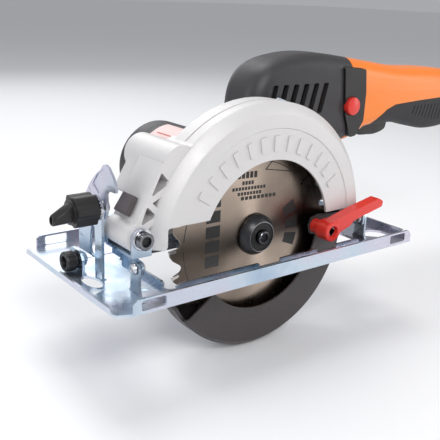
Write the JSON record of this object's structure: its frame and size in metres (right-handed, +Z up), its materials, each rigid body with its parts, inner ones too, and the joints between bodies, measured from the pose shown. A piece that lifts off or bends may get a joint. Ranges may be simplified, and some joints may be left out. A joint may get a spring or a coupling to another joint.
{
  "type": "circular saw",
  "caption": "Compact corded circular saw with tilting sole, depth arc, sprung lower guard, transverse motor and in-line handle.",
  "frame": {"origin": "on the underside of the sole, on the broad land on the motor side of the blade opening, level with the arbor", "axes": "+X to the rear of the saw (toward the handle), +Y toward the motor side, +Z up, away from the work"},
  "size_m": [0.394, 0.1452, 0.167],
  "materials": {
    "zinc": "bright zinc-plated pressed steel",
    "cast": "fine-textured silver die casting",
    "blade": "ground and lacquered saw steel, warm tan",
    "black_steel": "black oxide",
    "steel": "machined",
    "dark_plastic": "dark grey glass-filled nylon",
    "guard_grey": "satin dark grey",
    "orange_plastic": "orange moulding",
    "soft_grip": "soft overmould",
    "red_plastic": "red moulding",
    "black_plastic": "black moulding",
    "laminate": "laminated steel and windings",
    "brass": "brush holder brass",
    "label": "blank rating label",
    "rubber": "black rubber",
    "chrome": "bright washer",
    "nylon": "natural nylon"
  },
  "bodies": {
    "base": {"base_plate": "zinc", "front_tilt_rivet": "steel", "rear_tilt_rivet": "steel", "fence_clamp_nut": "zinc", "bevel_washer": "chrome"},
    "tilt_frame": {"pivot_bracket": "zinc", "bevel_quadrant": "zinc", "pivot_bolt": "chrome", "pivot_washer": "chrome", "pivot_nut": "zinc", "depth_arc": "zinc"},
    "head": {"upper_guard": "cast", "gear_housing": "cast", "gear_cover": "cast", "bearing_carrier": "cast", "motor_housing": "dark_plastic", "motor_end_cap": "dark_plastic", "stator": "laminate", "brush_holder_upper": "brass", "brush_holder_lower": "brass", "bearing_spindle_front": "steel", "bearing_spindle_rear": "steel", "bearing_layshaft": "steel", "bearing_motor_front": "steel", "bearing_motor_rear": "steel", "rating_label": "label", "depth_clamp_bolt": "steel", "depth_clamp_washer": "steel", "depth_stop_block": "rubber", "vent_housing": "dark_plastic", "handle_shell_near": "orange_plastic", "handle_shell_far": "orange_plastic", "grip_near": "soft_grip", "grip_far": "soft_grip", "handle_screw_front": "steel", "handle_screw_rear": "steel", "switch_panel": "black_plastic", "switch_module": "black_plastic", "cord_gland": "rubber", "guard_return_spring": "steel", "guard_retainer": "steel"},
    "spindle": {"blade": "blade", "inner_flange": "black_steel", "outer_flange": "black_steel", "blade_bolt": "black_steel", "spindle": "steel", "spindle_gear": "steel"},
    "layshaft": {"layshaft": "steel"},
    "rotor": {"armature": "laminate", "cooling_fan": "nylon"},
    "lower_guard": {"lower_guard": "guard_grey", "guard_lever": "red_plastic", "lever_screw": "steel"},
    "bevel_clamp": {"bevel_stud": "steel", "bevel_knob": "black_plastic"},
    "fence_clamp": {"fence_clamp_screw": "black_plastic"},
    "depth_lock": {"depth_lock_lever": "black_plastic"},
    "trigger": {"trigger": "black_plastic"},
    "lock_off": {"lock_off_button": "red_plastic"},
    "spindle_lock": {"spindle_lock_button": "black_plastic"}
  },
  "joints": [
    {"name": "bevel_hinge", "type": "hinge", "parent": "base", "child": "tilt_frame", "pos_m": [0, -0.067, 0.0145], "axis": [1, 0, 0], "range_deg": [0, 45]},
    {"name": "depth_hinge", "type": "hinge", "parent": "tilt_frame", "child": "head", "pos_m": [-0.0832, -0.053, 0.0285], "axis": [0, -1, 0], "range_deg": [0, 30]},
    {"name": "spindle_spin", "type": "hinge", "parent": "head", "child": "spindle", "pos_m": [0, -0.055, 0.014], "axis": [0, 1, 0], "continuous": true},
    {"name": "layshaft_spin", "type": "hinge", "parent": "head", "child": "layshaft", "pos_m": [-0.01458, -0.035, 0.02457], "axis": [0, 1, 0], "continuous": true},
    {"name": "rotor_spin", "type": "hinge", "parent": "head", "child": "rotor", "pos_m": [0.001, 0.015, 0.034], "axis": [0, 1, 0], "continuous": true},
    {"name": "lower_guard_hinge", "type": "hinge", "parent": "head", "child": "lower_guard", "pos_m": [0, -0.055, 0.014], "axis": [0, -1, 0], "range_deg": [0, 122], "stiffness_Nm_per_rad": 0.06, "springref_deg": -28.65},
    {"name": "bevel_knob_turn", "type": "hinge", "parent": "base", "child": "bevel_clamp", "pos_m": [-0.1, -0.04084, 0.04066], "axis": [1, 0, 0], "range_deg": [0, 180]},
    {"name": "fence_clamp_turn", "type": "hinge", "parent": "base", "child": "fence_clamp", "pos_m": [-0.1, -0.024, 0.0075], "axis": [1, 0, 0], "continuous": true},
    {"name": "depth_lock_turn", "type": "hinge", "parent": "head", "child": "depth_lock", "pos_m": [0.03872, -0.038, 0.02403], "axis": [0, 1, 0], "range_deg": [0, 40]},
    {"name": "trigger_press", "type": "slide", "parent": "head", "child": "trigger", "axis": [0, 0, 1], "range_m": [0, 0.004], "stiffness_N_per_m": 500, "springref_m": -0.003},
    {"name": "lock_off_press", "type": "slide", "parent": "head", "child": "lock_off", "axis": [0, 1, 0], "range_m": [0, 0.0025], "stiffness_N_per_m": 300, "springref_m": -0.002},
    {"name": "spindle_lock_press", "type": "slide", "parent": "head", "child": "spindle_lock", "axis": [0, 0, -1], "range_m": [0, 0.003], "stiffness_N_per_m": 300, "springref_m": -0.002}
  ],
  "couplings": [
    {"joint": "layshaft_spin", "follows": "spindle_spin", "ratio": -1.5714},
    {"joint": "rotor_spin", "follows": "spindle_spin", "ratio": 5.2381}
  ]
}
